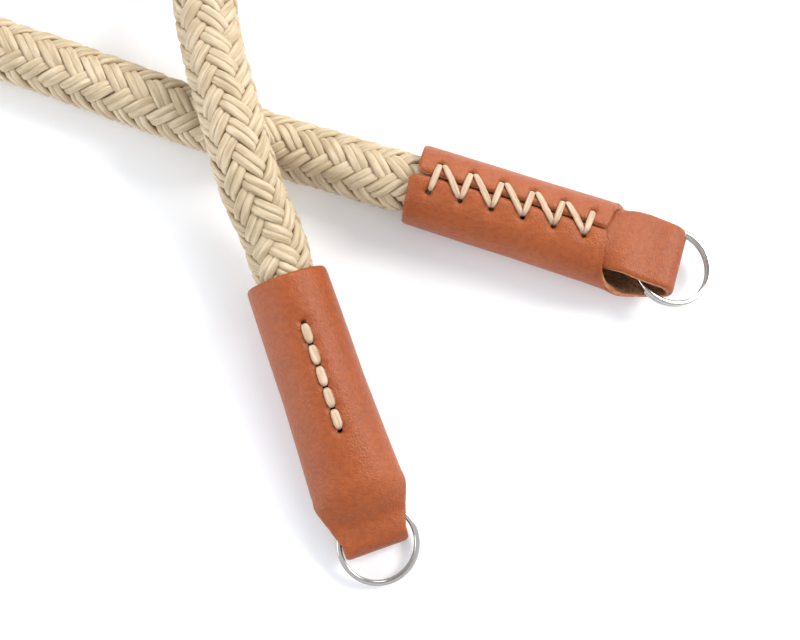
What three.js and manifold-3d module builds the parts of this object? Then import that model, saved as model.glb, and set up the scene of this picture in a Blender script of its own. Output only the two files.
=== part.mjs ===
// A camera strap of braided rope, lying on a table. Both ends go into laced leather sleeves,
// and each sleeve runs out into a tongue that is folded round a small split ring.
// Millimetres, +Z up. The origin lies on the table, under the middle of the two leather ends.
import * as THREE from 'three';
import { mergeVertices } from 'three/addons/utils/BufferGeometryUtils.js';
import Module from 'manifold-3d';

const wasm = await Module();
wasm.setup();

// Rope: a plain tube in place of the braid, a little thinner than the braid is across its highest
// yarns, reaching 20 mm into each sleeve
const ROPE_DIAMETER = 10.8;
const ROPE_SIDES = 10;
const ROPE_STEPS = 80;
const ROPE_IN_SLEEVE = 20;
const REST_HEIGHT = ROPE_DIAMETER / 2;

// Coil: the turns lie side by side on the table, the second inside the first
const COIL_CENTRE = { x: -39.5, y: 144.5 };
const COIL_RADIUS = 70.5;
const COIL_SPACING = 11.7;
const COIL_TURNS = 1.25;
const POINTS_PER_TURN = 14;

// Leather blank: a sleeve round the rope that narrows into a tongue
const LEATHER = 1.5;
const GIRTH = 42.2;
const SEAM_GAP = 0.5;
const SLEEVE_LENGTH = 36;
const SHOULDER = 39;
const FLARE = { at: 37.5, half: 15.5 };
const FOLD_RADIUS = 2.45;
const FOLD_CENTRE = 47.95;
const TUCK_END = 26;
const RESTING_FLAT = 0.22;
const COLUMNS = 20;
const TONGUE_STEPS = 24;
const TONGUE_BLEND = 0.15;

// Sewing holes: one row on the front, one row along each side of the seam
const HOLE_DIAMETER = 1.3;
const FRONT_HOLES = { count: 6, first: 9.1, pitch: 3.94, fromCentre: 0 };
const LACING_HOLES = { count: 6, first: 3.5, pitch: 5.76, fromEdge: 2.9, shift: 0.3 };

// Split ring: two windings of flattened wire with a step between them
const RING_DIAMETER = 15;
const WIRE_WIDTH = 0.95;
const WIRE_HEIGHT = 0.84;
const WIRE_CHAMFER = 0.22;
const WINDING_PITCH = 0.92;
const RING_STEPS = 60;
const STEP_HALF_ANGLE = 20;

// How each end lies: mouth of the sleeve, way to the ring, tilt and roll in degrees, how the
// leather is twisted along it, and how far the fold hangs off the middle of the sleeve
const END_A = {
  mouth: [-35.5, 14.42, 9.2], heading: -70.7, pitch: 4.8, roll: -3,
  twist: [{ at: 0, turn: 0 }], fold: -1.95,
};
const END_B = {
  mouth: [-12.6, 32.77, 7.4], heading: -17.2, pitch: 2.1, roll: 176.7,
  twist: [{ at: 0, turn: 0 }, { at: 36, turn: -10.2 }, { at: 47, turn: -4 }], fold: -0.3,
};

// How each ring lies: centre, way that its outer edge dips, dip, roll and place of the wire's step
const RING_A = { centre: [-18.82, -32.41, 2.7], heading: -70.7, dip: 11, roll: -3, step: 109 };
const RING_B = { centre: [35.05, 17.77, 5.58], heading: -17.2, dip: 9, roll: -7, step: 201 };

const radians = THREE.MathUtils.degToRad;

const leatherMaterial = new THREE.MeshStandardMaterial({ color: 0xb5623a, roughness: 0.5 });
const ropeMaterial = new THREE.MeshStandardMaterial({ color: 0xd9c49c, roughness: 0.8 });
const nickelMaterial = new THREE.MeshStandardMaterial({
  color: 0xc9c6c0, roughness: 0.2, metalness: 1,
});

// Value at `at` in a table of rows, straight between the rows
function lookUp(rows, at, column) {
  const next = rows.findIndex((row) => row.at >= at);
  if (next <= 0) return (next === 0 ? rows[0] : rows[rows.length - 1])[column];
  const low = rows[next - 1];
  const high = rows[next];
  return low[column] + ((high[column] - low[column]) * (at - low.at)) / (high.at - low.at);
}

// Sections of the sleeve by distance from its mouth: flat turns the circle into an oval,
// press lowers it a little where the rope inside has ended
const SLEEVE_SECTIONS = [
  { at: 0, flat: 0.0, press: 1.0 },
  { at: 12, flat: 0.08, press: 1.0 },
  { at: 21, flat: 0.1, press: 1.0 },
  { at: 31, flat: 0.28, press: 0.95 },
  { at: 39, flat: 0.46, press: 0.9 },
];

// Sections of the tongue by share of its length: curl is 1 on the sleeve and 0 where it lies flat
const TONGUE_SECTIONS = [
  { at: 0, half: 10.5, curl: 1.0, flat: 0.46, press: 0.9 },
  { at: 0.1, half: 9.0, curl: 0.72, flat: 0.46, press: 0.95 },
  { at: 0.18, half: 7.2, curl: 0.3, flat: 0.3, press: 1.0 },
  { at: 0.27, half: 5.8, curl: 0.02, flat: 0.0, press: 1.0 },
  { at: 0.42, half: 5.7, curl: 0.0, flat: 0.0, press: 1.0 },
  { at: 0.62, half: 5.8, curl: 0.15, flat: 0.0, press: 1.0 },
  { at: 0.75, half: 6.2, curl: 0.75, flat: 0.0, press: 1.0 },
  { at: 1, half: 6.1, curl: 0.9, flat: 0.0, press: 1.0 },
];

// Point of a section `across` mm from the front centre, as sideways place, drop and outward normal
function sectionPoint(across, { flat, curl, press }) {
  const pieces = 16;
  const radius = GIRTH / (2 * Math.PI);
  const turn = (u) => curl * (u / radius - (flat / 2) * Math.sin((2 * u) / radius));
  let side = 0;
  let drop = 0;
  for (let i = 0; i < pieces; i += 1) {
    const angle = turn((across * (i + 0.5)) / pieces);
    side += (Math.cos(angle) * across) / pieces;
    drop += (Math.sin(angle) * across) / pieces;
  }
  const angle = turn(across);
  return { side, drop: drop * press, out: { side: Math.sin(angle), drop: -Math.cos(angle) } };
}

// Half of the sleeve's middle height, from its axis to the middle of the leather
function halfHeight(section) {
  return sectionPoint(GIRTH / 2, { ...section, curl: 1 }).drop / 2;
}

function sleeveSection(at) {
  return {
    flat: lookUp(SLEEVE_SECTIONS, at, 'flat'),
    press: lookUp(SLEEVE_SECTIONS, at, 'press'),
    curl: 1,
  };
}

// The tongue's way: down from the sleeve's front, round the fold and back under the flaps
function tongueCurve(fold) {
  const top = halfHeight(sleeveSection(SHOULDER));
  const points = [
    [SHOULDER, top],
    [42.2, top * 0.62 + (fold + FOLD_RADIUS) * 0.38 + 0.2],
    [45.2, fold + FOLD_RADIUS + 0.55],
  ];
  for (let angle = 90; angle >= -90; angle -= 30) {
    points.push([
      FOLD_CENTRE + FOLD_RADIUS * Math.cos(radians(angle)),
      fold + FOLD_RADIUS * Math.sin(radians(angle)),
    ]);
  }
  points.push([44.5, (fold - FOLD_RADIUS) * 0.8 - 0.72], [40.5, -3.6], [36, -3.5], [31, -3.9]);
  points.push([TUCK_END, -4.25]);
  return new THREE.CatmullRomCurve3(points.map(([x, z]) => new THREE.Vector3(x, 0, z)));
}

// Rows of the blank from the mouth to the tucked end: a frame and a section for each
function blankRows(end) {
  const rows = [];
  for (const at of [0, 1.5, 5, 9, 13, 17, 21, 25, 29, 32.5, SLEEVE_LENGTH]) {
    const section = sleeveSection(at);
    rows.push({
      x: at, z: halfHeight(section), lean: 0, half: (GIRTH - SEAM_GAP) / 2, ...section,
    });
  }
  const flare = { ...sleeveSection(FLARE.at), half: FLARE.half };
  rows.push({ x: FLARE.at, z: halfHeight(flare), lean: 0, ...flare });
  const curve = tongueCurve(end.fold);
  for (let i = 0; i <= TONGUE_STEPS; i += 1) {
    const share = i / TONGUE_STEPS;
    const point = curve.getPointAt(share);
    const tangent = curve.getTangentAt(share);
    const lean = Math.atan2(tangent.x, tangent.z) - Math.PI / 2;
    rows.push({
      x: point.x,
      z: point.z,
      lean: lean * Math.min(1, share / TONGUE_BLEND),
      half: lookUp(TONGUE_SECTIONS, share, 'half'),
      curl: lookUp(TONGUE_SECTIONS, share, 'curl'),
      flat: lookUp(TONGUE_SECTIONS, share, 'flat'),
      press: lookUp(TONGUE_SECTIONS, share, 'press'),
    });
  }
  return rows;
}

// Place of the leather's middle, or of a face `off` mm out from it, in the sleeve's own frame
function leatherPoint(row, across, off, twist) {
  const { side, drop, out } = sectionPoint(across, row);
  const y = side + off * out.side;
  const down = drop + off * out.drop;
  const point = new THREE.Vector3(
    row.x - down * Math.sin(row.lean), y, row.z - down * Math.cos(row.lean),
  );
  const turned = radians(lookUp(twist, row.x, 'turn'));
  return point.applyAxisAngle(new THREE.Vector3(1, 0, 0), turned);
}

// Closed mesh over a grid of outer and inner points, with its four edges walled up
function sheetGeometry(outer, inner) {
  const rows = outer.length;
  const columns = outer[0].length;
  const positions = [...outer.flat(), ...inner.flat()].flatMap((p) => p.toArray());
  const index = [];
  const at = (row, column, layer) => layer * rows * columns + row * columns + column;
  const quad = (a, b, c, d) => index.push(a, b, c, a, c, d);
  for (let i = 0; i < rows - 1; i += 1) {
    for (let j = 0; j < columns - 1; j += 1) {
      quad(at(i, j, 0), at(i + 1, j, 0), at(i + 1, j + 1, 0), at(i, j + 1, 0));
      quad(at(i, j, 1), at(i, j + 1, 1), at(i + 1, j + 1, 1), at(i + 1, j, 1));
    }
    quad(at(i, 0, 0), at(i, 0, 1), at(i + 1, 0, 1), at(i + 1, 0, 0));
    const last = columns - 1;
    quad(at(i, last, 0), at(i + 1, last, 0), at(i + 1, last, 1), at(i, last, 1));
  }
  for (let j = 0; j < columns - 1; j += 1) {
    quad(at(0, j, 0), at(0, j + 1, 0), at(0, j + 1, 1), at(0, j, 1));
    const end = rows - 1;
    quad(at(end, j, 0), at(end, j, 1), at(end, j + 1, 1), at(end, j + 1, 0));
  }
  const geometry = new THREE.BufferGeometry();
  geometry.setAttribute('position', new THREE.Float32BufferAttribute(positions, 3));
  geometry.setIndex(index);
  return geometry;
}

function toManifold(geometry) {
  const bare = geometry.clone();
  bare.deleteAttribute('normal');
  bare.deleteAttribute('uv');
  const merged = mergeVertices(bare, 1e-4);
  return new wasm.Manifold(new wasm.Mesh({
    numProp: 3,
    vertProperties: new Float32Array(merged.attributes.position.array),
    triVerts: new Uint32Array(merged.index.array),
  }));
}

function fromManifold(solid) {
  const mesh = solid.getMesh();
  const geometry = new THREE.BufferGeometry();
  geometry.setAttribute('position', new THREE.Float32BufferAttribute(mesh.vertProperties, 3));
  geometry.setIndex([...mesh.triVerts]);
  return geometry;
}

// A punch straight through the leather at one place of the sleeve
function punch(at, across, twist) {
  const section = sleeveSection(at);
  const row = { x: at, z: halfHeight(section), lean: 0, ...section };
  const middle = leatherPoint(row, across, 0, twist);
  const out = leatherPoint(row, across, 1, twist).sub(middle).normalize();
  const tool = new THREE.CylinderGeometry(HOLE_DIAMETER / 2, HOLE_DIAMETER / 2, LEATHER + 0.5, 6);
  tool.applyQuaternion(
    new THREE.Quaternion().setFromUnitVectors(new THREE.Vector3(0, 1, 0), out),
  );
  tool.translate(...middle.toArray());
  return toManifold(tool);
}

function holePlaces() {
  const places = [];
  for (let k = 0; k < FRONT_HOLES.count; k += 1) {
    places.push([FRONT_HOLES.first + FRONT_HOLES.pitch * k, FRONT_HOLES.fromCentre]);
  }
  const across = GIRTH / 2 - LACING_HOLES.fromEdge;
  for (let k = 0; k < LACING_HOLES.count; k += 1) {
    const at = LACING_HOLES.first + LACING_HOLES.pitch * k;
    places.push([at - LACING_HOLES.shift, across], [at + LACING_HOLES.shift, -across]);
  }
  return places;
}

// Turns and moves a shape from the sleeve's own frame to where the end lies
function layDown(geometry, end) {
  geometry.rotateX(radians(end.roll));
  geometry.rotateY(radians(end.pitch));
  geometry.rotateZ(radians(end.heading));
  geometry.translate(...end.mouth);
  return geometry;
}

// Soft leather is pressed flat where it touches the table
function pressFlat(geometry) {
  const place = geometry.attributes.position;
  for (let i = 0; i < place.count; i += 1) {
    if (place.getZ(i) < RESTING_FLAT) place.setZ(i, 0);
  }
  return geometry;
}

function leatherEnd(end) {
  const rows = blankRows(end);
  const columns = Array.from({ length: COLUMNS + 1 }, (_, j) => (2 * j) / COLUMNS - 1);
  const face = (off) => rows.map(
    (row) => columns.map((share) => leatherPoint(row, share * row.half, off, end.twist)),
  );
  const sheet = sheetGeometry(face(LEATHER / 2), face(-LEATHER / 2));
  const laid = toManifold(pressFlat(layDown(sheet, end)));
  const punches = holePlaces().map(([at, across]) => punch(at, across, end.twist));
  return fromManifold(punches.reduce((solid, tool) => {
    const placed = layDown(fromManifold(tool), end);
    return solid.subtract(toManifold(placed));
  }, laid));
}

// One wire, wound a little less than twice, that steps up from its first turn to its second
class RingWire extends THREE.Curve {
  getPoint(share, target = new THREE.Vector3()) {
    const degrees = STEP_HALF_ANGLE + share * (720 - 2 * STEP_HALF_ANGLE);
    const climb = THREE.MathUtils.smoothstep(
      degrees, 360 - STEP_HALF_ANGLE, 360 + STEP_HALF_ANGLE,
    );
    const radius = (RING_DIAMETER - WIRE_WIDTH) / 2;
    return target.set(
      radius * Math.cos(radians(degrees)),
      radius * Math.sin(radians(degrees)),
      WINDING_PITCH * (climb - 0.5),
    );
  }

  // Frames that keep the wire's flats level all the way round
  computeFrenetFrames(segments) {
    const frames = { tangents: [], normals: [], binormals: [] };
    const up = new THREE.Vector3(0, 0, 1);
    for (let i = 0; i <= segments; i += 1) {
      const out = this.getPointAt(i / segments).setZ(0).normalize();
      frames.tangents.push(new THREE.Vector3().crossVectors(up, out));
      frames.normals.push(up);
      frames.binormals.push(out);
    }
    return frames;
  }
}

function splitRing(ring) {
  const x = WIRE_HEIGHT / 2;
  const y = WIRE_WIDTH / 2;
  const c = WIRE_CHAMFER;
  const section = new THREE.Shape([
    [x, c - y], [x, y - c], [x - c, y], [c - x, y], [-x, y - c], [-x, c - y], [c - x, -y], [x - c, -y],
  ].map((p) => new THREE.Vector2(...p)));
  const geometry = new THREE.ExtrudeGeometry(section, {
    extrudePath: new RingWire(), steps: RING_STEPS, bevelEnabled: false,
  });
  geometry.rotateZ(radians(ring.step - ring.heading));
  geometry.rotateY(radians(ring.dip));
  geometry.rotateX(radians(ring.roll));
  geometry.rotateZ(radians(ring.heading));
  geometry.translate(...ring.centre);
  return geometry;
}

// A point on a sleeve's axis, `inside` mm in from its mouth
function axisPoint(end, inside) {
  const way = new THREE.Vector3(inside, 0, 0);
  way.applyAxisAngle(new THREE.Vector3(0, 1, 0), radians(end.pitch));
  way.applyAxisAngle(new THREE.Vector3(0, 0, 1), radians(end.heading));
  return way.add(new THREE.Vector3(...end.mouth));
}

// The stretch from end B to the coil lies on the table and passes under the stretch to end A
const LEAD_B = [
  [-18.7, 34.2, 6.8], [-26.1, 36.8, 5.9], [-33.5, 39.1, 5.4], [-44.5, 42.7, 5.4],
  [-55.8, 46.6, 5.4], [-67.1, 50.8, 5.4], [-78.5, 55.0, 5.4], [-91.3, 59.4, 5.4],
  [-98.1, 62.7, 5.4], [-103.8, 67.7, 5.4], [-107.8, 74.1, 5.4], [-109.6, 81.4, 5.4],
  [-110.0, 91.4, 5.4], [-110.0, 104.4, 5.4], [-110.0, 121.4, 5.4],
];

// The stretch from the coil to end A humps over the coil's near side and over the first stretch
const LEAD_A = [
  [-25.1, 196.8, 5.4], [-14.4, 186.8, 5.4], [-9.8, 172.2, 5.4], [-12.1, 156.2, 5.4],
  [-18.1, 140.2, 5.4], [-25.4, 124.2, 5.4], [-32.4, 110.2, 7.6], [-39.5, 97.2, 13.0],
  [-45.9, 84.9, 16.9], [-49.7, 74.2, 17.2], [-50.3, 63.9, 16.8], [-48.8, 55.2, 16.7],
  [-46.6, 47.2, 17.0], [-44.5, 39.9, 17.0], [-42.9, 34.0, 16.2], [-40.8, 28.1, 14.0],
  [-37.6, 21.1, 10.7],
];

function coilPoints() {
  const count = Math.round(COIL_TURNS * POINTS_PER_TURN);
  return Array.from({ length: count + 1 }, (_, i) => {
    const turn = (i * COIL_TURNS) / count;
    const angle = Math.PI * (1 - 2 * turn);
    const radius = COIL_RADIUS - COIL_SPACING * turn;
    return [
      COIL_CENTRE.x + radius * Math.cos(angle), COIL_CENTRE.y + radius * Math.sin(angle), REST_HEIGHT,
    ];
  });
}

function ropeRoute() {
  const inside = (end) => [1, 0.5, 0].map((share) => axisPoint(end, ROPE_IN_SLEEVE * share));
  const open = [...LEAD_B, ...coilPoints(), ...LEAD_A].map((p) => new THREE.Vector3(...p));
  const route = new THREE.CatmullRomCurve3([...inside(END_B), ...open, ...inside(END_A).reverse()]);
  route.arcLengthDivisions = 4000;
  return route;
}

function ropeGeometry() {
  const corners = Array.from({ length: ROPE_SIDES }, (_, i) => {
    const angle = (2 * Math.PI * (i + 0.5)) / ROPE_SIDES;
    return new THREE.Vector2(Math.cos(angle), Math.sin(angle)).multiplyScalar(ROPE_DIAMETER / 2);
  });
  return new THREE.ExtrudeGeometry(new THREE.Shape(corners), {
    extrudePath: ropeRoute(), steps: ROPE_STEPS, bevelEnabled: false,
  });
}

const strap = new THREE.Group();

function addPiece(name, geometry, material) {
  const mesh = new THREE.Mesh(geometry, material);
  mesh.name = name;
  strap.add(mesh);
}

addPiece('rope', ropeGeometry(), ropeMaterial);
addPiece('leather_end_a', leatherEnd(END_A), leatherMaterial);
addPiece('leather_end_b', leatherEnd(END_B), leatherMaterial);
addPiece('ring_a', splitRing(RING_A), nickelMaterial);
addPiece('ring_b', splitRing(RING_B), nickelMaterial);

export default strap;
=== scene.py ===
import math
import bmesh
import bpy
import numpy as np
from mathutils import Matrix, Vector


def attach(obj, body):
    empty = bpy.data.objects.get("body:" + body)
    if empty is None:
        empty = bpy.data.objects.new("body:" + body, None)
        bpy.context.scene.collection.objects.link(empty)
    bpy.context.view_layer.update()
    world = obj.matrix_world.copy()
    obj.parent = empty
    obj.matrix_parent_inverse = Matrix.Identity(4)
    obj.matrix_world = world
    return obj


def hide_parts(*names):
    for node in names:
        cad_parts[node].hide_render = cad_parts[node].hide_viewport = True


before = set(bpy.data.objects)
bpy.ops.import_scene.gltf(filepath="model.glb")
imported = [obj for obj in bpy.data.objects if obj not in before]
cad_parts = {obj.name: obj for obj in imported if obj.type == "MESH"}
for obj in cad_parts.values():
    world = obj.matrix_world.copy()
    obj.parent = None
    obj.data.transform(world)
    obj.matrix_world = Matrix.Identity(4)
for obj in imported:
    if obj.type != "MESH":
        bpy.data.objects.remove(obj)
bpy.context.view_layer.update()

# The camera hangs over the strap and leans back a little from straight down.
# All places are in millimetres, measured from the table under the middle of the leather ends.
MM = 0.001
eye = Vector((-20.06, -36.22, 256.05)) * MM
aim = Vector((-14.83, 8.63, 0.0)) * MM
view_way = (aim - eye).normalized()
view_right = view_way.cross(Vector((0, 1, 0))).normalized()
view_up = view_right.cross(view_way)
camera_data = bpy.data.cameras.new("camera")
camera_data.lens = 63
camera_data.sensor_width = 36
camera_data.clip_start = 0.01
camera = bpy.data.objects.new("camera", camera_data)
camera.matrix_world = Matrix((view_right, view_up, -view_way)).transposed().to_4x4()
camera.location = eye
bpy.context.scene.collection.objects.link(camera)
bpy.context.scene.camera = camera

# The rope is cotton, braided in the round: eight strands wind each way and every strand goes
# over two and under two of the others. A strand is two soft yarns lying side by side.
ROPE_DIAMETER = 10.8
ROPE_IN_SLEEVE = 20.0
ROPE_STEP = 1.0
TABLE_GAP = 0.02
BRAID_RADIUS = 5.78
BRAID_PITCH = 34.2
BRAID_RISES_OVER = 12.0
SLOW_TURN = {"degrees": 20.0, "from": 200.0, "over": 500.0}
STRANDS_EACH_WAY = 8
YARN_HALF_WIDTH = 0.84
YARN_HALF_HEIGHT = 0.76
YARN_SPREAD = 0.90
YARN_SIDES = 10
YARN_SQUARE = 0.82
WEAVE_DEPTH = 0.64
WEAVE_SNAP = 2.4
SQUEEZE = {"share": 0.09, "over": 3.0}
UNEVEN = {"knots": 400, "radius": 0.04, "turn": 0.014}
UNEVEN_THICKNESS = {"knots": 300, "size": 0.05}
CORE_RADIUS = 4.3
CORE_SIDES = 16
MOUTH_A, HEADING_A, PITCH_A = (-35.5, 14.42, 9.2), -70.7, 4.8
MOUTH_B, HEADING_B, PITCH_B = (-12.6, 32.77, 7.4), -17.2, 2.1
FROM_END_B = [
    (-18.7, 34.2, 6.8), (-26.1, 36.8, 5.9), (-33.5, 39.1, 5.4), (-44.5, 42.7, 5.4),
    (-55.8, 46.6, 5.4), (-67.1, 50.8, 5.4), (-78.5, 55.0, 5.4), (-91.3, 59.4, 5.4),
    (-98.1, 62.7, 5.4), (-103.8, 67.7, 5.4), (-107.8, 74.1, 5.4), (-109.6, 81.4, 5.4),
    (-110.0, 91.4, 5.4), (-110.0, 104.4, 5.4), (-110.0, 121.4, 5.4),
]
TO_END_A = [
    (-25.1, 196.8, 5.4), (-14.4, 186.8, 5.4), (-9.8, 172.2, 5.4), (-12.1, 156.2, 5.4),
    (-18.1, 140.2, 5.4), (-25.4, 124.2, 5.4), (-32.4, 110.2, 7.6), (-39.5, 97.2, 13.0),
    (-45.9, 84.9, 16.9), (-49.7, 74.2, 17.2), (-50.3, 63.9, 16.8), (-48.8, 55.2, 16.7),
    (-46.6, 47.2, 17.0), (-44.5, 39.9, 17.0), (-42.9, 34.0, 16.2), (-40.8, 28.1, 14.0),
    (-37.6, 21.1, 10.7),
]
COIL_CENTRE = (-39.5, 144.5)
COIL_RADIUS = 70.5
COIL_SPACING = 11.7
COIL_TURNS = 1.25
POINTS_PER_TURN = 14


def turned(points, axis, degrees):
    """Points turned about X, Y or Z."""
    matrix = np.array(Matrix.Rotation(math.radians(degrees), 3, axis))
    return points @ matrix.T


def smooth_way(points, per_stretch=60):
    """A dense line through the points, by the centripetal Catmull-Rom rule."""
    points = np.array(points, float)
    ends = [2 * points[0] - points[1]], [2 * points[-1] - points[-2]]
    through = np.vstack([ends[0], points, ends[1]])
    t = np.linspace(0, 1, per_stretch, endpoint=False)[:, None]
    line = []
    for p0, p1, p2, p3 in zip(through, through[1:], through[2:], through[3:]):
        before, along, after = [np.sum((b - a) ** 2) ** 0.25
                                for a, b in ((p0, p1), (p1, p2), (p2, p3))]
        leave = (p1 - p0) / before - (p2 - p0) / (before + along) + (p2 - p1) / along
        reach = (p2 - p1) / along - (p3 - p1) / (along + after) + (p3 - p2) / after
        leave, reach = leave * along, reach * along
        line.append(p1 + leave * t + (3 * (p2 - p1) - 2 * leave - reach) * t**2
                    + (2 * (p1 - p2) + leave + reach) * t**3)
    return np.vstack([*line, points[-1:]])


def evenly(line, step):
    """The line again, with points `step` apart, and how far along each one is."""
    far = np.concatenate([[0], np.cumsum(np.linalg.norm(np.diff(line, axis=0), axis=1))])
    at = np.linspace(0, far[-1], int(far[-1] / step) + 1)
    return np.stack([np.interp(at, far, line[:, k]) for k in range(3)], 1), at


def carried_frames(line):
    """Two directions square to the line at each point, carried along it without turning."""
    ways = np.gradient(line, axis=0)
    ways /= np.linalg.norm(ways, axis=1)[:, None]
    side = np.cross(ways[0], (0, 0, 1))
    sides = []
    for way in ways:
        side = side - way * (side @ way)
        side = side / np.linalg.norm(side)
        sides.append(side)
    sides = np.array(sides)
    return sides, np.cross(ways, sides)


def sleeve_axis(mouth, heading, pitch, inside):
    """A point on a sleeve's axis, `inside` mm in from its mouth."""
    way = turned(turned(np.array([[inside, 0, 0]], float), "Y", pitch), "Z", heading)
    return tuple(way[0] + np.array(mouth))


def coil_turns():
    """Points of the coil, whose second turn lies inside the first."""
    count = round(COIL_TURNS * POINTS_PER_TURN)
    for i in range(count + 1):
        turn = i * COIL_TURNS / count
        angle, radius = math.pi * (1 - 2 * turn), COIL_RADIUS - COIL_SPACING * turn
        yield (COIL_CENTRE[0] + radius * math.cos(angle),
               COIL_CENTRE[1] + radius * math.sin(angle), ROPE_DIAMETER / 2)


route = [sleeve_axis(MOUTH_B, HEADING_B, PITCH_B, ROPE_IN_SLEEVE * k) for k in (1, 0.5, 0)]
route += [*FROM_END_B, *coil_turns(), *TO_END_A]
route += [sleeve_axis(MOUTH_A, HEADING_A, PITCH_A, ROPE_IN_SLEEVE * k) for k in (0, 0.5, 1)]
middle, along_rope = evenly(smooth_way(route), ROPE_STEP)
from_sleeves = np.minimum(along_rope, along_rope[-1] - along_rope) - ROPE_IN_SLEEVE
# The yarns make the rope a little thicker, so outside the sleeves its middle lies higher.
outside = np.clip(from_sleeves / BRAID_RISES_OVER, 0, 1)
middle[:, 2] += (BRAID_RADIUS - ROPE_DIAMETER / 2) * outside
rope_sides, rope_ups = carried_frames(middle)


def mesh_piece(name, mesh, *materials):
    """A named piece of the strap, smooth all over."""
    piece = bpy.data.objects.new(name, mesh)
    bpy.context.scene.collection.objects.link(piece)
    for material in materials:
        mesh.materials.append(material)
    mesh.polygons.foreach_set("use_smooth", [True] * len(mesh.polygons))
    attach(piece, "root")
    return piece


def tubes_mesh(name, tubes, square=1.0):
    """One mesh of many closed tubes. A tube is its line, its half width and half height at each
    point, the way its height stands, its number of sides and where its pattern starts. The
    section is an ellipse that grows squarer as `square` falls below 1, and it lies flat where
    it meets the table. UV runs along each tube in centimetres, and round it."""
    spots, faces, uvs, shown = [], [], [], []
    count = 0
    for line, wide, high, ups, sides_round, start in tubes:
        ways = np.gradient(line, axis=0)
        ways /= np.linalg.norm(ways, axis=1)[:, None]
        across = np.cross(ways, ups)
        across /= np.linalg.norm(across, axis=1)[:, None]
        ups = np.cross(across, ways)
        angle = np.linspace(0, 2 * np.pi, sides_round, endpoint=False)
        c, s = (np.sign(v) * np.abs(v) ** square for v in (np.cos(angle), np.sin(angle)))
        ring = (line[:, None]
                + across[:, None] * (wide[:, None] * c)[..., None]
                + ups[:, None] * (high[:, None] * s)[..., None])
        ring[..., 2] = np.maximum(ring[..., 2], TABLE_GAP)
        spots.append(ring.reshape(-1, 3))
        n = len(line)
        shown.append(np.tile(np.sin(angle), n))
        i, j = np.meshgrid(np.arange(n - 1), np.arange(sides_round), indexing="ij")
        k = (j + 1) % sides_round
        quads = count + np.stack([i * sides_round + j, i * sides_round + k,
                                  (i + 1) * sides_round + k, (i + 1) * sides_round + j], -1)
        faces.append(quads.reshape(-1, 4))
        far = start + np.concatenate(
            [[0], np.cumsum(np.linalg.norm(np.diff(line, axis=0), axis=1))]) / 10
        v = j / sides_round + start
        w = (j + 1) / sides_round + start
        corners = [np.stack(corner, -1) for corner in
                   ((far[i], v), (far[i], w), (far[i + 1], w), (far[i + 1], v))]
        uvs.append(np.stack(corners, 2).reshape(-1, 2))
        count += n * sides_round
    mesh = bpy.data.meshes.new(name)
    mesh.from_pydata(np.vstack(spots) * MM, [], np.vstack(faces).tolist())
    layer = mesh.uv_layers.new(name="along")
    layer.data.foreach_set("uv", np.vstack(uvs).ravel())
    # 1 on the side of a tube that shows and -1 underneath, to place the painted shade in the
    # creases
    values = mesh.attributes.new("shown", "FLOAT", "POINT")
    values.data.foreach_set("value", np.concatenate(shown))
    made = bmesh.new()
    made.from_mesh(mesh)
    open_ends = [e for e in made.edges if e.is_boundary]
    bmesh.ops.holes_fill(made, edges=open_ends, sides=0)
    bmesh.ops.recalc_face_normals(made, faces=made.faces)
    made.to_mesh(mesh)
    made.free()
    return mesh


def new_material(name, colour, roughness):
    """A plain material, with its nodes, its links and its shader."""
    material = bpy.data.materials.new(name)
    material.use_nodes = True
    shader = material.node_tree.nodes["Principled BSDF"]
    shader.inputs["Base Color"].default_value = (*colour, 1)
    shader.inputs["Roughness"].default_value = roughness
    return material, material.node_tree.nodes, material.node_tree.links, shader


def stretched_noise(nodes, links, source, stretch, detail=4.0):
    """Noise read from `source`, drawn out by the three numbers of `stretch`."""
    mapping = nodes.new("ShaderNodeMapping")
    mapping.inputs["Scale"].default_value = stretch
    noise = nodes.new("ShaderNodeTexNoise")
    noise.inputs["Scale"].default_value = 1.0
    noise.inputs["Detail"].default_value = detail
    links.new(source, mapping.inputs["Vector"])
    links.new(mapping.outputs["Vector"], noise.inputs["Vector"])
    return noise.outputs["Fac"]


def ramp(nodes, links, value, stops):
    """Colours spread over a value, from a list of place and colour."""
    node = nodes.new("ShaderNodeValToRGB")
    while len(node.color_ramp.elements) < len(stops):
        node.color_ramp.elements.new(0.5)
    for element, (place, colour) in zip(node.color_ramp.elements, stops):
        element.position = place
        element.color = (*colour, 1)
    links.new(value, node.inputs["Fac"])
    return node.outputs["Color"]


def multiplied(nodes, links, first, second):
    """One colour darkened by another."""
    mixed = nodes.new("ShaderNodeMix")
    mixed.data_type = "RGBA"
    mixed.blend_type = "MULTIPLY"
    mixed.inputs["Factor"].default_value = 1.0
    links.new(first, mixed.inputs["A"])
    links.new(second, mixed.inputs["B"])
    return mixed.outputs["Result"]


def bumped(nodes, links, shader, heights):
    """Stacks bumps, each a height, a strength and a depth in metres, on a shader."""
    normal = None
    for height, strength, depth in heights:
        bump = nodes.new("ShaderNodeBump")
        bump.inputs["Strength"].default_value = strength
        bump.inputs["Distance"].default_value = depth
        links.new(height, bump.inputs["Height"])
        if normal is not None:
            links.new(normal, bump.inputs["Normal"])
        normal = bump.outputs["Normal"]
    links.new(normal, shader.inputs["Normal"])


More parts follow.
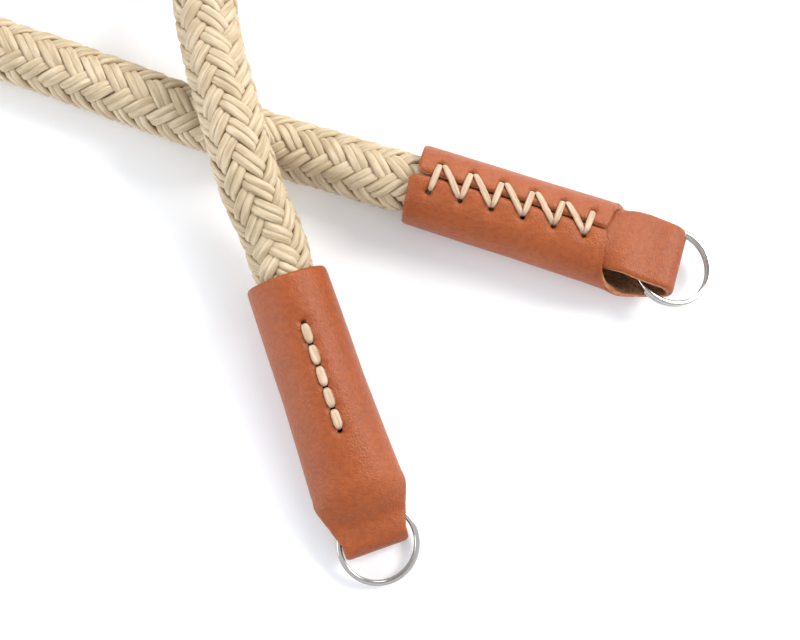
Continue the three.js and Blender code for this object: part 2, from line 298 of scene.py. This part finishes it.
def cotton_yarn(name, light, dark, round_count):
    """Spun cotton: fine fibres along the yarn, slow changes of tone, and painted shade in the
    creases on each side of it."""
    material, nodes, links, shader = new_material(name, light, 0.62)
    shader.inputs["Sheen Weight"].default_value = 0.25
    shader.inputs["Sheen Roughness"].default_value = 0.4
    place = nodes.new("ShaderNodeTexCoord")
    fibres = stretched_noise(nodes, links, place.outputs["UV"], (2.2, round_count, 1), 3)
    hairs = stretched_noise(nodes, links, place.outputs["UV"], (9.0, round_count * 2.6, 1), 2)
    tone = stretched_noise(nodes, links, place.outputs["Object"], (90, 90, 90), 2)
    middle_tone = tuple((a + b) / 2 for a, b in zip(light, dark))
    fine = ramp(nodes, links, fibres, [(0.3, dark), (0.5, middle_tone), (0.66, light)])
    slow = ramp(nodes, links, tone, [(0.3, (0.86, 0.84, 0.8)), (0.7, (1, 1, 1))])
    # Painted shade: each tube is darkened on its underside, where the creases between the yarns lie
    # in shadow.
    shown = nodes.new("ShaderNodeAttribute")
    shown.attribute_name = "shown"
    painted_crease_shade = ramp(nodes, links, shown.outputs["Fac"], [
        (0.05, (0.36, 0.27, 0.17)), (0.40, (0.76, 0.70, 0.60)), (0.75, (1, 1, 1))])
    toned = multiplied(nodes, links, multiplied(nodes, links, fine, slow), painted_crease_shade)
    links.new(toned, shader.inputs["Base Color"])
    bumped(nodes, links, shader, [(fibres, 0.6, 0.00022), (hairs, 0.4, 0.00009)])
    return material


rope_cotton = cotton_yarn("rope_cotton", (0.68, 0.56, 0.39), (0.43, 0.32, 0.185), 7.0)
chance = np.random.default_rng(7)


def slow_chance(count, knots, size):
    """A slowly changing random value along a line."""
    return np.interp(np.linspace(0, knots - 1, count), np.arange(knots),
                     chance.normal(0, size, knots))


def yarn(hand, strand, beside):
    """One yarn of the braid as a tube. `hand` is the way that it winds and `beside` its side of
    the strand, each 1 or -1."""
    count = len(middle)
    winding = hand * 2 * np.pi * along_rope / BRAID_PITCH + 2 * np.pi * strand / STRANDS_EACH_WAY
    off = beside * math.pi / (2 * STRANDS_EACH_WAY) * YARN_SPREAD
    phase = STRANDS_EACH_WAY / 2 * (winding + off / 2) - math.pi / 4
    rise = np.tanh(WEAVE_SNAP * np.cos(phase)) / math.tanh(WEAVE_SNAP)
    squeeze = 1 - SQUEEZE["share"] * np.clip(1 - from_sleeves / SQUEEZE["over"], 0, 1)
    base = BRAID_RADIUS * squeeze - YARN_HALF_HEIGHT - WEAVE_DEPTH
    uneven = slow_chance(count, UNEVEN["knots"], UNEVEN["radius"])
    radius = base + hand * WEAVE_DEPTH * rise + uneven
    turned_by = np.clip((along_rope - SLOW_TURN["from"]) / SLOW_TURN["over"], 0, 1)
    slow_turn = math.radians(SLOW_TURN["degrees"]) * turned_by
    turn = winding + off + slow_turn + slow_chance(count, UNEVEN["knots"], UNEVEN["turn"])
    out = rope_sides * np.cos(turn)[:, None] + rope_ups * np.sin(turn)[:, None]
    line = middle + out * radius[:, None]
    fat = 1 + slow_chance(count, UNEVEN_THICKNESS["knots"], UNEVEN_THICKNESS["size"])
    # The pattern starts at another place on each yarn, so that no two show the same fibres.
    start = float(strand * 3 + beside + 40 * (hand + 1)) + 0.37 * strand
    return line, YARN_HALF_WIDTH * fat, YARN_HALF_HEIGHT * fat, out, YARN_SIDES, start


core_line = middle[::3]
core_half = np.full(len(core_line), CORE_RADIUS)
# The core is coloured much darker than the yarns: painted shade for the deep gaps between the
# strands, where only it shows.
core_painted_shade_cotton = cotton_yarn("rope_core_cotton", (0.42, 0.31, 0.18), (0.25, 0.17, 0.09), 30.0)
rope_core = mesh_piece("rope_core", tubes_mesh("rope_core", [
    (core_line, core_half, core_half, rope_ups[::3], CORE_SIDES, 0.0)]), core_painted_shade_cotton)
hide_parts("rope")
for hand, way in ((1, "right"), (-1, "left")):
    for half in (0, 1):
        name = f"braid_{way}_{half + 1}"
        first = half * STRANDS_EACH_WAY // 2
        yarns = [yarn(hand, strand, beside)
                 for strand in range(first, first + STRANDS_EACH_WAY // 2) for beside in (-1, 1)]
        piece = mesh_piece(name, tubes_mesh(name, yarns, YARN_SQUARE), rope_cotton)

# Each leather end is one blank of cognac leather, 1.5 mm thick. It is rolled round the rope and
# laced, and its narrow tongue is folded round the ring and tucked back under the laced flaps.
LEATHER = 1.5
GIRTH = 42.2
SEAM_GAP = 0.5
SHOULDER = 39.0
FOLD_RADIUS = 2.45
FOLD_CENTRE = 47.95
TUCK_END = 26.0
# Sections by distance from the mouth, and by share of the tongue's length. `flat` turns the
# circle into an oval, `press` lowers it, and `curl` is 1 on the sleeve and 0 on the flat strip.
SLEEVE_FORM = {"at": (0, 12, 21, 31, 39), "flat": (0, 0.08, 0.1, 0.28, 0.46),
               "press": (1, 1, 1, 0.95, 0.9)}
FLAP_END = {"at": (35.8, 36.7, 37.6, SHOULDER),
            "half": ((GIRTH - SEAM_GAP) / 2, 15.2, 12.8, 10.5)}
TONGUE_FORM = {
    "at": (0, 0.1, 0.18, 0.27, 0.42, 0.62, 0.75, 1),
    "half": (10.5, 9.0, 7.2, 5.9, 5.8, 5.9, 6.2, 6.1),
    "curl": (1.0, 0.72, 0.3, 0.02, 0, 0.15, 0.75, 0.9),
    "flat": (0.46, 0.46, 0.3, 0, 0, 0, 0, 0),
    "press": (0.9, 0.95, 1, 1, 1, 1, 1, 1),
}
FRONT_HOLES = {"count": 6, "first": 9.1, "pitch": 3.94}
LACING_HOLES = {"count": 6, "first": 3.5, "pitch": 5.76, "from_edge": 2.9, "closer": 0.1,
                "left_shift": -0.2, "right_shift": 0.33}
HOLE_RADIUS = 0.56
PUNCHED_SHARE = 0.95
DRAWN_TO_HOLE = 1.2
DIMPLE = {"depth": 0.42, "reach": 1.25}
BULGE_FORM = ((0.28, 0.36, 0.55, 0.68, 0.74), (0, 0.55, 1, 0.4, 0))
MOUTH_CORNER = 1.6
MOUTH_FADE = 4.0
SKEW = {"from": 11.0, "over": 9.0}
THREAD_BED = {"depth": 0.5, "front": 2.2, "seam": 5.0}
BLANK_STEP = 0.3
BLANK_SOFTNESS = 4
TONGUE_BLEND = 0.15
CELL_LENGTH = 0.36
CELLS_ACROSS = 116
SLEEVE_HALF_WAY = 18.0
THINNED = ((0, 0.36, 0.8), (0.5, 0.86, 1.0))
EDGE_ROUND = 0.16
END_A = {"name": "a", "mouth": MOUTH_A, "heading": HEADING_A, "pitch": PITCH_A, "roll": -3,
         "twist": ((0, 50), (0, 0)), "fold": -1.95, "skew": 0.0, "bulge": 0.0}
END_B = {"name": "b", "mouth": MOUTH_B, "heading": HEADING_B, "pitch": PITCH_B, "roll": 176.7,
         "twist": ((0, 36, 47), (0, -10.2, -4)), "fold": -0.3, "skew": 0.9, "bulge": 1.1}


def section(across, flat, curl, press):
    """Sideways place, drop and tilt of a bent section, `across` mm from its middle."""
    radius = GIRTH / (2 * math.pi)
    steps = 24
    side, drop = np.zeros_like(across), np.zeros_like(across)
    for k in range(steps):
        u = across * (k + 0.5) / steps
        angle = curl * (u / radius - flat / 2 * np.sin(2 * u / radius))
        side += np.cos(angle) * across / steps
        drop += np.sin(angle) * across / steps
    tilt = curl * (across / radius - flat / 2 * np.sin(2 * across / radius))
    return side, drop * press, tilt


def half_height(at):
    """Half of the sleeve's height, from its axis to the middle of the leather."""
    flat = np.interp(at, SLEEVE_FORM["at"], SLEEVE_FORM["flat"])
    press = np.interp(at, SLEEVE_FORM["at"], SLEEVE_FORM["press"])
    return section(np.full_like(flat, GIRTH / 2), flat, np.ones_like(flat), press)[1] / 2


def softened(values, reach):
    """Values with their corners rounded over `reach` neighbours."""
    kernel = np.hanning(2 * reach + 3)[1:-1]
    padded = np.pad(values, len(kernel) // 2, mode="edge")
    return np.convolve(padded, kernel / kernel.sum(), mode="valid")


def blank_way(end):
    """The blank's middle line from the mouth to the tucked end, and its section all along."""
    fold = end["fold"]
    top = float(half_height(np.array([SHOULDER]))[0])
    # The tongue comes down off the sleeve's front, goes round the ring and back under the flaps.
    points = [(SHOULDER, 0, top), (42.2, 0, top * 0.62 + (fold + FOLD_RADIUS) * 0.38 + 0.2),
              (45.2, 0, fold + FOLD_RADIUS + 0.55)]
    for angle in range(90, -91, -30):
        a = math.radians(angle)
        points.append((FOLD_CENTRE + FOLD_RADIUS * math.cos(a), 0,
                       fold + FOLD_RADIUS * math.sin(a)))
    points += [(44.5, 0, (fold - FOLD_RADIUS) * 0.8 - 0.72), (40.5, 0, -3.6), (36, 0, -3.5),
               (31, 0, -3.9), (TUCK_END, 0, -4.25)]
    tongue, far = evenly(smooth_way(points), BLANK_STEP)
    share = far / far[-1]
    way = np.gradient(tongue, axis=0)
    lean = np.arctan2(way[:, 0], way[:, 2]) - math.pi / 2
    lean *= np.minimum(1, share / TONGUE_BLEND)
    x = np.arange(0, SHOULDER, BLANK_STEP)
    sleeve_half = np.interp(x, FLAP_END["at"], FLAP_END["half"])
    form = {"x": np.concatenate([x, tongue[:, 0]]),
            "z": np.concatenate([half_height(x), tongue[:, 2]]),
            "lean": np.concatenate([np.zeros_like(x), lean]),
            "half": np.concatenate([sleeve_half, np.interp(share, TONGUE_FORM["at"],
                                                           TONGUE_FORM["half"])]),
            "curl": np.concatenate([np.ones_like(x), np.interp(share, TONGUE_FORM["at"],
                                                               TONGUE_FORM["curl"])])}
    for key in ("flat", "press"):
        form[key] = np.concatenate([np.interp(x, SLEEVE_FORM["at"], SLEEVE_FORM[key]),
                                    np.interp(share, TONGUE_FORM["at"], TONGUE_FORM[key])])
    for key in ("lean", "curl", "flat", "press", "z"):
        form[key] = softened(form[key], BLANK_SOFTNESS)
    form["far"] = np.concatenate([x, SHOULDER + far])
    return form


def on_blank(end, form, far, across, off):
    """Where a place of the flat blank comes to lie, `off` mm out from the leather's middle."""
    row = {key: np.interp(far, form["far"], form[key]) for key in form}
    row["x"] = row["x"] + np.minimum(far, 0)
    side, drop, tilt = section(across, row["flat"], row["curl"], row["press"])
    y = side + off * np.sin(tilt)
    down = drop - off * np.cos(tilt)
    place = np.stack([row["x"] - down * np.sin(row["lean"]), y,
                      row["z"] - down * np.cos(row["lean"])], -1)
    turn = np.radians(np.interp(row["x"], *end["twist"]))
    place[..., 1], place[..., 2] = (
        place[..., 1] * np.cos(turn) - place[..., 2] * np.sin(turn),
        place[..., 1] * np.sin(turn) + place[..., 2] * np.cos(turn))
    laid = place.reshape(-1, 3)
    for axis, degrees in (("X", end["roll"]), ("Y", end["pitch"]), ("Z", end["heading"])):
        laid = turned(laid, axis, degrees)
    return (laid + np.array(end["mouth"])).reshape(place.shape)


def hole_places():
    """The punched holes as places on the flat blank."""
    holes = [(FRONT_HOLES["first"] + FRONT_HOLES["pitch"] * k, 0.0)
             for k in range(FRONT_HOLES["count"])]
    edge = GIRTH / 2 - LACING_HOLES["from_edge"]
    for k in range(LACING_HOLES["count"]):
        at = LACING_HOLES["first"] + LACING_HOLES["pitch"] * k
        holes += [(at + LACING_HOLES["left_shift"], edge + LACING_HOLES["closer"] * k),
                  (at + LACING_HOLES["right_shift"], -edge)]
    return np.array(holes)


def cognac_leather(name):
    """The grain side: satin, with a fine pebble, small pores and cloudy tone."""
    material, nodes, links, shader = new_material(name, (0.35, 0.08, 0.012), 0.42)
    shader.inputs["Specular IOR Level"].default_value = 0.36
    shader.inputs["Coat Weight"].default_value = 0.14
    shader.inputs["Coat Roughness"].default_value = 0.42
    place = nodes.new("ShaderNodeTexCoord").outputs["Object"]
    cloud = stretched_noise(nodes, links, place, (45, 45, 45), 3)
    speck = stretched_noise(nodes, links, place, (1100, 1100, 1100), 3)
    tone = ramp(nodes, links, cloud, [
        (0.25, (0.285, 0.058, 0.008)), (0.5, (0.325, 0.069, 0.009)), (0.75, (0.365, 0.083, 0.013))])
    fleck = ramp(nodes, links, speck, [(0.35, (0.84, 0.80, 0.76)), (0.6, (1, 1, 1))])
    links.new(multiplied(nodes, links, tone, fleck), shader.inputs["Base Color"])
    pebble = nodes.new("ShaderNodeTexVoronoi")
    pebble.inputs["Scale"].default_value = 2900
    links.new(place, pebble.inputs["Vector"])
    shine = nodes.new("ShaderNodeMapRange")
    shine.inputs["To Min"].default_value = 0.38
    shine.inputs["To Max"].default_value = 0.48
    links.new(cloud, shine.inputs["Value"])
    links.new(shine.outputs["Result"], shader.inputs["Roughness"])
    wave = stretched_noise(nodes, links, place, (260, 260, 260), 3)
    bumped(nodes, links, shader, [(wave, 0.08, 0.0003), (pebble.outputs["Distance"], 0.9, 0.00011),
                                  (speck, 0.4, 0.00007)])
    return material


def raw_leather(name, light, dark, depth):
    """The cut edge or the flesh side: dull and fibrous."""
    material, nodes, links, shader = new_material(name, light, 0.85)
    place = nodes.new("ShaderNodeTexCoord").outputs["Object"]
    nap = stretched_noise(nodes, links, place, (1400, 1400, 1400), 4)
    links.new(ramp(nodes, links, nap, [(0.32, dark), (0.68, light)]), shader.inputs["Base Color"])
    bumped(nodes, links, shader, [(nap, 0.8, depth)])
    return material


grain_side = cognac_leather("leather_grain")
flesh_side = raw_leather("leather_flesh", (0.29, 0.12, 0.045), (0.12, 0.043, 0.014), 0.0003)
cut_edge = raw_leather("leather_edge", (0.56, 0.25, 0.12), (0.33, 0.12, 0.05), 0.0001)


def cut_to_shape(end, form, flat):
    """The blank's small shapes: round corners at the mouth, a mouth that isn't quite square,
    and the tucked strip's fuller side."""
    far, across = flat[:, 0], flat[:, 1]
    half = np.interp(far, form["far"], form["half"])
    past = np.clip(np.abs(across) - (half - MOUTH_CORNER), 0, MOUTH_CORNER)
    corner = MOUTH_CORNER - np.sqrt(MOUTH_CORNER**2 - past**2)
    fade = np.clip(1 - far / MOUTH_FADE, 0, 1)
    skewed = -end["skew"] * np.clip((across - SKEW["from"]) / SKEW["over"], 0, 1)
    share = (far - SHOULDER) / (form["far"][-1] - SHOULDER)
    bulge = end["bulge"] * np.interp(share, *BULGE_FORM)
    fuller = np.where(across < 0, -bulge * (across / half) ** 2, 0)
    return np.stack([far + (corner + skewed) * fade, across + fuller], -1)


def resting(place, across):
    """Places on the leather, lifted where they would sink into the table, and a little more
    under the stitches and the lacing."""
    from_seam = GIRTH / 2 - np.abs(across)
    near = np.maximum(np.clip(THREAD_BED["front"] - np.abs(across), 0, 1),
                      np.clip(THREAD_BED["seam"] - from_seam, 0, 1))
    lowest = LEATHER / 2 + TABLE_GAP + THREAD_BED["depth"] * near
    place[:, 2] = np.maximum(place[:, 2], lowest)
    return place


def grid_places(made, form):
    """How far along the blank and how far across it each corner of the grid lies."""
    made.verts.ensure_lookup_table()
    corners = np.array([v.co for v in made.verts])
    length = form["far"][-1]
    far = np.clip((corners[:, 0] + 0.5) * length, 0, length)
    return far, corners[:, 1] * 2 * np.interp(far, form["far"], form["half"])


def punched_blank(form):
    """The flat blank as a fine grid with its holes punched out and made round, the places of its
    corners, and how far each corner is from the middle of the nearest hole."""
    made = bmesh.new()
    bmesh.ops.create_grid(made, x_segments=int(form["far"][-1] / CELL_LENGTH),
                          y_segments=CELLS_ACROSS, size=0.5)
    far, across = grid_places(made, form)
    holes = hole_places()
    punched = []
    for face in made.faces:
        ids = [v.index for v in face.verts]
        spot = np.array([far[ids].mean(), across[ids].mean()])
        if np.min(np.linalg.norm(holes - spot, axis=1)) < HOLE_RADIUS * PUNCHED_SHARE:
            punched.append(face)
    bmesh.ops.delete(made, geom=punched, context="FACES")
    flat = np.stack(grid_places(made, form), -1)
    gap = flat[:, None] - holes[None]
    reach = np.linalg.norm(gap, axis=2)
    nearest = reach.argmin(1)
    close = reach[np.arange(len(flat)), nearest]
    for v in made.verts:
        if v.is_boundary and close[v.index] < DRAWN_TO_HOLE:
            way = gap[v.index, nearest[v.index]] / close[v.index]
            flat[v.index] = holes[nearest[v.index]] + way * HOLE_RADIUS
            close[v.index] = HOLE_RADIUS
    return made, flat, close


def face_outwards(made, end, form):
    """Turns the bent blank's faces so that its grain side looks away from the rope."""
    spot = on_blank(end, form, np.array([SLEEVE_HALF_WAY]), np.array([0.0]), np.array([0.0]))
    front = Vector(spot[0]) * MM
    axis = sleeve_axis(end["mouth"], end["heading"], end["pitch"], SLEEVE_HALF_WAY)
    sample = min(made.faces, key=lambda face: (face.calc_center_median() - front).length)
    if sample.normal.dot(sample.calc_center_median() - Vector(axis) * MM) < 0:
        bmesh.ops.reverse_faces(made, faces=made.faces)


def give_wall(piece, from_edge):
    """Gives the sheet its thickness, a little less near the cut edges, which are rounded."""
    thick = piece.vertex_groups.new(name="thick")
    for k, fullness in enumerate(np.interp(from_edge, *THINNED)):
        thick.add([k], float(fullness), "REPLACE")
    wall = piece.modifiers.new("wall", "SOLIDIFY")
    wall.thickness = LEATHER * MM
    wall.offset = 0
    wall.use_even_offset = True
    wall.vertex_group = "thick"
    wall.material_offset = 1
    wall.material_offset_rim = 2
    round_edge = piece.modifiers.new("edge", "BEVEL")
    round_edge.width = EDGE_ROUND * MM
    round_edge.segments = 2
    round_edge.limit_method = "ANGLE"
    round_edge.angle_limit = math.radians(55)


def leather_end(end):
    """The punched blank, bent into its sleeve and tongue."""
    form = blank_way(end)
    made, flat, close = punched_blank(form)
    dimple = -DIMPLE["depth"] * np.exp(-((close / DIMPLE["reach"]) ** 2))
    shaped = cut_to_shape(end, form, flat)
    place = resting(on_blank(end, form, shaped[:, 0], shaped[:, 1], dimple), flat[:, 1])
    for v, spot in zip(made.verts, place):
        v.co = spot * MM
    layer = made.loops.layers.uv.new("blank")
    for face in made.faces:
        for loop in face.loops:
            loop[layer].uv = flat[loop.vert.index] / 10
    made.normal_update()
    face_outwards(made, end, form)
    name = "sleeve_" + end["name"]
    mesh = bpy.data.meshes.new(name)
    made.to_mesh(mesh)
    made.free()
    piece = mesh_piece(name, mesh, grain_side, flesh_side, cut_edge)
    half = np.interp(flat[:, 0], form["far"], form["half"])
    from_edge = np.minimum.reduce([half - np.abs(flat[:, 1]), flat[:, 0],
                                   form["far"][-1] - flat[:, 0], close - HOLE_RADIUS])
    give_wall(piece, from_edge)
    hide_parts("leather_end_" + end["name"])
    return form


blank_a = leather_end(END_A)
blank_b = leather_end(END_B)

# Waxed flat thread closes each sleeve. A running stitch goes down the front, and a zigzag
# lacing draws the two flaps together over the seam.
thread_cotton = cotton_yarn("thread_cotton", (0.70, 0.52, 0.37), (0.42, 0.28, 0.17), 9.0)
RUNNING = {"half_width": 0.82, "drawn_in": 0.22, "lift": 0.1}
LACING = {"half_width": 0.62, "drawn_in": 0.32, "lift": 0.14, "upper_lift": 0.2}
THREAD_HALF_HEIGHT = 0.26
STITCH_POINTS = 23
STITCH_SIDES = 12
STITCH_UNDER = 1.1
STITCH_DIVE = 0.13
STITCH_TAPER = 0.32
STITCH_TIP = {"width": 0.56, "height": 0.85}


def stitch(end, form, ends, lift, half_width):
    """One visible stitch: it comes out of a hole, lies on the leather and goes into the next."""
    start, finish = ends
    t = np.linspace(0, 1, STITCH_POINTS)
    whole = start + (finish - start) * t[:, None]
    edge = (GIRTH - SEAM_GAP) / 2
    across = np.where(whole[:, 1] > GIRTH / 2, whole[:, 1] - GIRTH, whole[:, 1])
    across = np.clip(across, -edge, edge)
    low = on_blank(end, form, whole[:, 0], across, np.zeros_like(t))
    high = on_blank(end, form, whole[:, 0], across, np.ones_like(t))
    ups = high - low
    low = resting(low, across)
    for k in range(3):
        low[:, k] = softened(low[:, k], 1)
        ups[:, k] = softened(ups[:, k], 1)
    ups /= np.linalg.norm(ups, axis=1)[:, None]
    to_end = np.minimum(t, 1 - t)
    bow = np.sin(np.clip(to_end / STITCH_DIVE, 0, 1) * np.pi / 2)
    rise = -STITCH_UNDER + (LEATHER / 2 + lift + STITCH_UNDER) * bow
    full = np.sin(np.clip(to_end / STITCH_TAPER, 0, 1) * np.pi / 2)
    wide = half_width * (STITCH_TIP["width"] + (1 - STITCH_TIP["width"]) * full)
    high = THREAD_HALF_HEIGHT * (STITCH_TIP["height"] + (1 - STITCH_TIP["height"]) * full)
    return low + ups * rise[:, None], wide, high, ups, STITCH_SIDES, float(chance.uniform(0, 40))


def shortened(start, finish, by):
    """A stitch's two ends, each drawn in a little from the middle of its hole."""
    way = (finish - start) / np.linalg.norm(finish - start)
    return start + way * by, finish - way * by


def sewing(end, form):
    """The running stitch and the lacing of one sleeve, each a piece of its own."""
    holes = hole_places()
    front = holes[:FRONT_HOLES["count"]]
    left, right = holes[FRONT_HOLES["count"]::2], holes[FRONT_HOLES["count"] + 1::2]
    right = right + np.array([0, GIRTH])
    running = [stitch(end, form, shortened(a, b, RUNNING["drawn_in"]), RUNNING["lift"],
                      RUNNING["half_width"]) for a, b in zip(front, front[1:])]
    lacing = []
    for k in range(LACING_HOLES["count"]):
        lacing.append(stitch(end, form, shortened(left[k], right[k], LACING["drawn_in"]),
                             LACING["lift"], LACING["half_width"]))
        if k:
            lacing.append(stitch(end, form, shortened(right[k - 1], left[k], LACING["drawn_in"]),
                                 LACING["upper_lift"], LACING["half_width"]))
    for name, stitches in (("running_stitch_", running), ("lacing_", lacing)):
        name += end["name"]
        piece = mesh_piece(name, tubes_mesh(name, stitches), thread_cotton)


sewing(END_A, blank_a)
sewing(END_B, blank_b)

# A split ring of nickelled steel wire hangs in each tongue. The wire is flat with rounded
# edges and is wound twice, with a step where one winding passes to the other.
RING_DIAMETER = 15.0
WIRE_WIDTH = 0.95
WIRE_HEIGHT = 0.84
WIRE_SIDES = 24
WIRE_SQUARE = 0.62
WINDING_PITCH = 0.92
WINDING_STEPS = 110
CLIMB_STEPS = 14
STEP_HALF_ANGLE = 20.0
RING_A = {"centre": (-18.82, -32.41, 2.7), "heading": -70.7, "dip": 11, "roll": -3, "step": 109}
RING_B = {"centre": (35.05, 17.77, 5.58), "heading": -17.2, "dip": 9, "roll": -7, "step": 201}


def nickel():
    """Polished nickel, with faint rub marks that break up its shine."""
    material, nodes, links, shader = new_material("ring_nickel", (0.46, 0.44, 0.41), 0.14)
    shader.inputs["Metallic"].default_value = 1.0
    place = nodes.new("ShaderNodeTexCoord").outputs["Object"]
    rub = stretched_noise(nodes, links, place, (1200, 1200, 1200), 3)
    shine = nodes.new("ShaderNodeMapRange")
    shine.inputs["To Min"].default_value = 0.08
    shine.inputs["To Max"].default_value = 0.22
    links.new(rub, shine.inputs["Value"])
    links.new(shine.outputs["Result"], shader.inputs["Roughness"])
    bumped(nodes, links, shader, [(rub, 0.12, 0.00003)])
    return material


ring_nickel = nickel()


def split_ring(name, ring):
    """The wire's rounded section is spun round in three runs: winding, step and winding."""
    made = bmesh.new()
    start = bmesh.ops.create_circle(made, segments=WIRE_SIDES, radius=1.0)["verts"]
    wire = (RING_DIAMETER - WIRE_WIDTH) / 2
    for v in start:
        c, s = (math.copysign(abs(x) ** WIRE_SQUARE, x) for x in v.co.xy)
        v.co = Vector((wire + c * WIRE_WIDTH / 2, 0, s * WIRE_HEIGHT / 2 - WINDING_PITCH / 2))
    bmesh.ops.rotate(made, verts=made.verts, cent=(0, 0, 0),
                     matrix=Matrix.Rotation(math.radians(STEP_HALF_ANGLE), 3, "Z"))
    last = list(made.edges)
    winding = (360 - 2 * STEP_HALF_ANGLE, WINDING_STEPS, 0.0)
    for degrees, steps, climb in (
            winding, (2 * STEP_HALF_ANGLE, CLIMB_STEPS, WINDING_PITCH), winding):
        spun = bmesh.ops.spin(made, geom=last, cent=(0, 0, 0), axis=(0, 0, 1),
                              dvec=(0, 0, climb / steps), angle=math.radians(degrees),
                              steps=steps)
        last = [g for g in spun["geom_last"] if isinstance(g, bmesh.types.BMEdge)]
    ends = [e for e in made.edges if e.is_boundary]
    bmesh.ops.holes_fill(made, edges=ends, sides=0)
    bmesh.ops.recalc_face_normals(made, faces=made.faces)
    for axis, degrees in (("Z", ring["step"] - ring["heading"]), ("Y", ring["dip"]),
                          ("X", ring["roll"]), ("Z", ring["heading"])):
        bmesh.ops.rotate(made, verts=made.verts, cent=(0, 0, 0),
                         matrix=Matrix.Rotation(math.radians(degrees), 3, axis))
    bmesh.ops.translate(made, verts=made.verts, vec=Vector(ring["centre"]))
    bmesh.ops.scale(made, verts=made.verts, vec=(MM, MM, MM))
    mesh = bpy.data.meshes.new(name)
    made.to_mesh(mesh)
    made.free()
    piece = mesh_piece(name, mesh, ring_nickel)
    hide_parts(name.replace("split_", ""))


split_ring("split_ring_a", RING_A)
split_ring("split_ring_b", RING_B)

# The table is a pale sheet under soft daylight, with a window at the right, the left and the
# far side. It carries the strap and isn't part of it. Its sizes and the windows' are in metres.
TABLE_HALF_WIDTH = 6.0
table_made = bmesh.new()
bmesh.ops.create_grid(table_made, x_segments=1, y_segments=1, size=TABLE_HALF_WIDTH)
table_mesh = bpy.data.meshes.new("table")
table_made.to_mesh(table_mesh)
table_made.free()
table_top = bpy.data.objects.new("table", table_mesh)
table_white = new_material("table_white", (0.97, 0.97, 0.97), 0.7)[0]
table_mesh.materials.append(table_white)
bpy.context.scene.collection.objects.link(table_top)

sky = bpy.data.worlds.new("daylight")
sky.use_nodes = True
sky_nodes, sky_links = sky.node_tree.nodes, sky.node_tree.links
sky_way = sky_nodes.new("ShaderNodeVectorMath")
sky_way.operation = "DOT_PRODUCT"
sky_way.inputs[1].default_value = Vector((0.08, 0.34, 0.94)).normalized()
sky_links.new(sky_nodes.new("ShaderNodeTexCoord").outputs["Generated"], sky_way.inputs[0])
sky_tone = ramp(sky_nodes, sky_links, sky_way.outputs["Value"], [
    (0.02, (0.30, 0.31, 0.33)), (0.35, (0.90, 0.94, 1.0)), (0.72, (0.92, 0.96, 1.0)),
    (0.95, (0.34, 0.36, 0.40))])
sky_links.new(sky_tone, sky_nodes["Background"].inputs["Color"])
sky_nodes["Background"].inputs["Strength"].default_value = 1.22
bpy.context.scene.world = sky
bpy.context.scene.view_settings.view_transform = "Standard"


def soft_light(name, place, size, power, colour):
    """A square window that looks at the strap."""
    data = bpy.data.lights.new(name, "AREA")
    data.size = size
    data.energy = power
    data.color = colour
    lamp = bpy.data.objects.new(name, data)
    lamp.rotation_euler = (-Vector(place)).to_track_quat("-Z", "Y").to_euler()
    lamp.location = place
    bpy.context.scene.collection.objects.link(lamp)


soft_light("window", (0.78, 0.32, 0.75), 0.42, 8.5, (1.0, 0.98, 0.95))
soft_light("side_window", (-0.95, -0.3, 0.42), 0.5, 4.2, (0.97, 0.98, 1.0))
soft_light("far_window", (0.15, 1.05, 0.8), 0.5, 7.5, (1.0, 0.99, 0.98))
